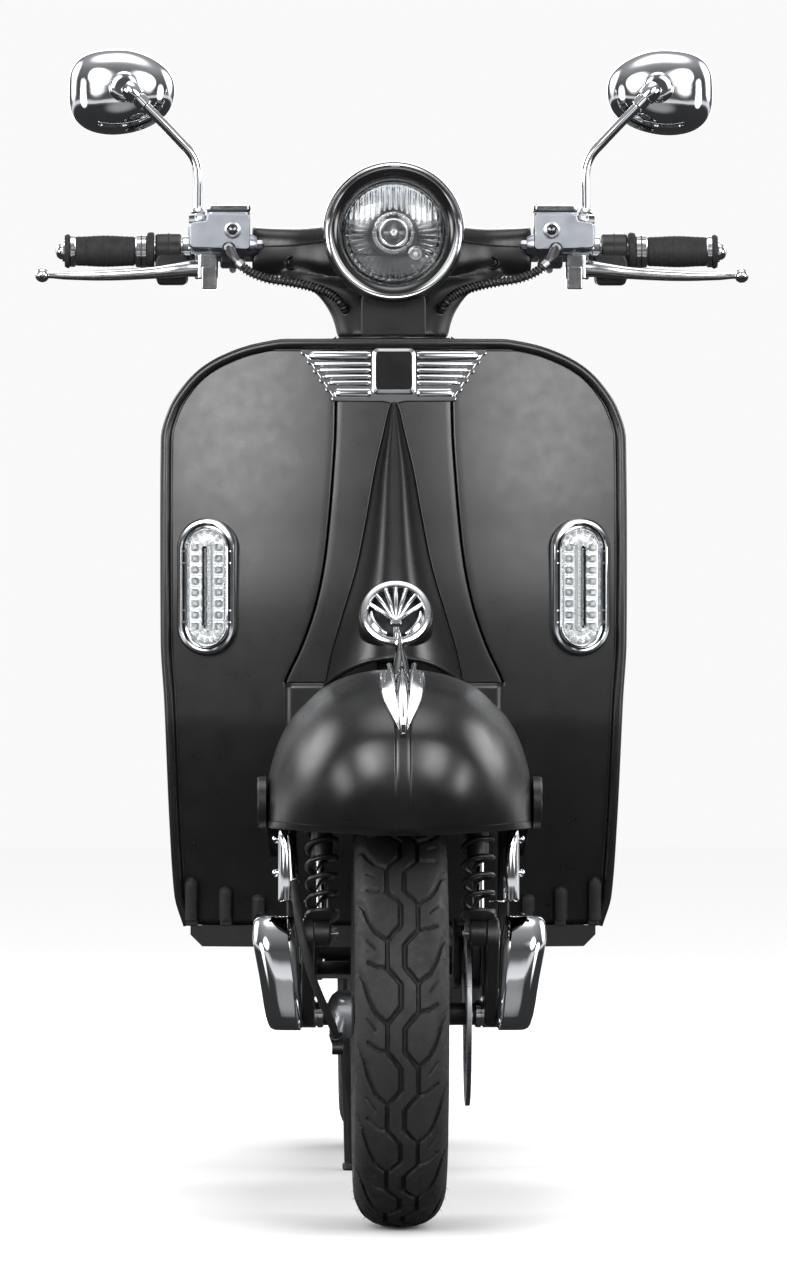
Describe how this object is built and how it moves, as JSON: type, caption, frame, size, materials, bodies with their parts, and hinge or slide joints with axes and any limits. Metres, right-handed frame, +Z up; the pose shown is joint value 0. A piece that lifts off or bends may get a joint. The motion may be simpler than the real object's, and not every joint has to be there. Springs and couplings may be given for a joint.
{
  "type": "moped scooter",
  "caption": "Step-through scooter with a pressed leg shield, leading-link front suspension, round headlamp, twin mirrors, engine swing unit and a narrow centre stand",
  "frame": {"origin": "on the ground, below the middle of the scooter's length and width", "axes": "+X the rider's left, +Y towards the tail, +Z up"},
  "size_m": [0.7322, 1.786, 1.1882],
  "materials": {
    "satin_black": "satin black paint",
    "gloss_black": "gloss black",
    "frame_black": "black powder coat",
    "matte_black": "fine-grained black plastic",
    "chrome": "bright chrome plate",
    "alloy": "clear-coated cast alloy",
    "steel": "brushed steel",
    "rubber": "matte black rubber",
    "tyre": "block-treaded tyre rubber",
    "clear_lens": "clear moulded lens",
    "red_lens": "red moulded lens",
    "seat_cover": "black grained vinyl"
  },
  "bodies": {
    "chassis": {"main_frame": "frame_black", "leg_shield": "satin_black", "horn_cover": "satin_black", "horn_grille": "chrome", "trim_plate": "chrome", "indicator_bezel_left": "chrome", "indicator_bezel_right": "chrome", "indicator_lens_left": "clear_lens", "indicator_lens_right": "clear_lens", "inner_shield": "matte_black", "floorboard": "matte_black", "body_cowl_left": "satin_black", "body_cowl_right": "satin_black", "seat_bucket": "matte_black", "tail_lamp": "red_lens", "rear_fender": "matte_black", "rear_damper": "steel"},
    "steering": {"fork": "frame_black", "front_fender": "satin_black", "fender_crest": "chrome", "headset_shell": "satin_black", "headlight_ring": "chrome", "headlight_lens": "clear_lens", "handlebar": "chrome", "master_cylinder_left": "alloy", "master_cylinder_right": "alloy", "switch_block_left": "gloss_black", "switch_block_right": "gloss_black", "brake_hose_left": "rubber", "brake_hose_right": "rubber", "grip_left": "rubber", "front_damper_left": "steel", "front_damper_right": "steel", "speedometer_cable": "rubber"},
    "lever_left": {"brake_lever_left": "alloy"},
    "lever_right": {"brake_lever_right": "alloy"},
    "throttle": {"throttle_grip": "rubber"},
    "horn_key": {"horn_button": "gloss_black"},
    "starter_key": {"starter_button": "gloss_black"},
    "stem_left": {"mirror_stem_left": "chrome"},
    "stem_right": {"mirror_stem_right": "chrome"},
    "mirror_left": {"mirror_head_left": "chrome"},
    "mirror_right": {"mirror_head_right": "chrome"},
    "front_link": {"front_link": "frame_black", "link_cover_left": "chrome", "link_cover_right": "chrome", "brake_caliper": "frame_black"},
    "front_rods": {"front_shock_rod_left": "chrome", "front_shock_rod_right": "chrome"},
    "front_wheel": {"front_tyre": "tyre", "front_rim": "alloy", "brake_disc": "steel"},
    "power_unit": {"engine_unit": "alloy", "exhaust": "frame_black"},
    "kick": {"kick_lever": "steel"},
    "rear_wheel": {"rear_tyre": "tyre", "rear_rim": "alloy"},
    "rear_rod": {"rear_shock_rod": "chrome"},
    "stand": {"centre_stand": "frame_black"},
    "seat": {"seat": "seat_cover"}
  },
  "joints": [
    {"name": "steer", "type": "hinge", "parent": "chassis", "child": "steering", "pos_m": [0, -0.44629, 0.6], "axis": [0, 0.454, 0.891], "range_deg": [-35, 35]},
    {"name": "front_swing", "type": "hinge", "parent": "steering", "child": "front_link", "pos_m": [0, -0.59, 0.245], "axis": [-1, 0, 0], "range_deg": [-3, 15], "stiffness_Nm_per_rad": 900, "springref_deg": -17.19, "deforming": ["speedometer_cable"]},
    {"name": "front_rods_slide", "type": "slide", "parent": "steering", "child": "front_rods", "axis": [0, 0.3802, 0.9249], "range_m": [-0.0084, 0.0416]},
    {"name": "front_roll", "type": "hinge", "parent": "front_link", "child": "front_wheel", "pos_m": [0, -0.667, 0.2085], "axis": [1, 0, 0], "continuous": true},
    {"name": "rear_swing", "type": "hinge", "parent": "chassis", "child": "power_unit", "pos_m": [0, 0.262, 0.3], "axis": [1, 0, 0], "range_deg": [0, 7], "stiffness_Nm_per_rad": 900, "springref_deg": -5.73},
    {"name": "rear_rod_slide", "type": "slide", "parent": "chassis", "child": "rear_rod", "axis": [0, -0.0512, 0.9987], "range_m": [0, 0.0445]},
    {"name": "rear_roll", "type": "hinge", "parent": "power_unit", "child": "rear_wheel", "pos_m": [0, 0.603, 0.217], "axis": [1, 0, 0], "continuous": true},
    {"name": "throttle_twist", "type": "hinge", "parent": "steering", "child": "throttle", "pos_m": [-0.29, -0.222, 0.977], "axis": [1, 0, 0], "range_deg": [0, 75], "stiffness_Nm_per_rad": 0.2, "springref_deg": -22.92},
    {"name": "lever_left_pull", "type": "hinge", "parent": "steering", "child": "lever_left", "pos_m": [0.187, -0.252, 0.955], "axis": [0, 0, 1], "range_deg": [0, 10], "stiffness_Nm_per_rad": 4, "springref_deg": -2.86},
    {"name": "lever_right_pull", "type": "hinge", "parent": "steering", "child": "lever_right", "pos_m": [-0.187, -0.252, 0.955], "axis": [0, 0, -1], "range_deg": [0, 10], "stiffness_Nm_per_rad": 4, "springref_deg": -2.86},
    {"name": "horn_press", "type": "slide", "parent": "steering", "child": "horn_key", "axis": [0, -1, 0], "range_m": [0, 0.003], "stiffness_N_per_m": 300, "springref_m": -0.001},
    {"name": "starter_press", "type": "slide", "parent": "steering", "child": "starter_key", "axis": [0, -1, 0], "range_m": [0, 0.003], "stiffness_N_per_m": 300, "springref_m": -0.001},
    {"name": "mirror_left_turn", "type": "hinge", "parent": "steering", "child": "stem_left", "pos_m": [0.2, -0.25, 1.01], "axis": [0, 0, 1], "range_deg": [-30, 30]},
    {"name": "mirror_right_turn", "type": "hinge", "parent": "steering", "child": "stem_right", "pos_m": [-0.2, -0.25, 1.01], "axis": [0, 0, 1], "range_deg": [-30, 30]},
    {"name": "mirror_left_tilt", "type": "hinge", "parent": "stem_left", "child": "mirror_left", "pos_m": [0.274, -0.242, 1.147], "axis": [1, 0, 0], "range_deg": [-12, 12]},
    {"name": "mirror_right_tilt", "type": "hinge", "parent": "stem_right", "child": "mirror_right", "pos_m": [-0.274, -0.242, 1.147], "axis": [1, 0, 0], "range_deg": [-12, 12]},
    {"name": "stand_fold", "type": "hinge", "parent": "chassis", "child": "stand", "pos_m": [0, 0.15, 0.222], "axis": [1, 0, 0], "range_deg": [0, 72]},
    {"name": "seat_lift", "type": "hinge", "parent": "chassis", "child": "seat", "pos_m": [0, 0.06, 0.688], "axis": [1, 0, 0], "range_deg": [0, 75]},
    {"name": "kick_start", "type": "hinge", "parent": "power_unit", "child": "kick", "pos_m": [0.122, 0.4, 0.282], "axis": [-1, 0, 0], "range_deg": [0, 45], "stiffness_Nm_per_rad": 3, "springref_deg": -17.19}
  ],
  "couplings": [
    {"joint": "front_rods_slide", "follows": "front_swing", "m_per_rad": 0.15818},
    {"joint": "rear_rod_slide", "follows": "rear_swing", "m_per_rad": 0.3628}
  ]
}
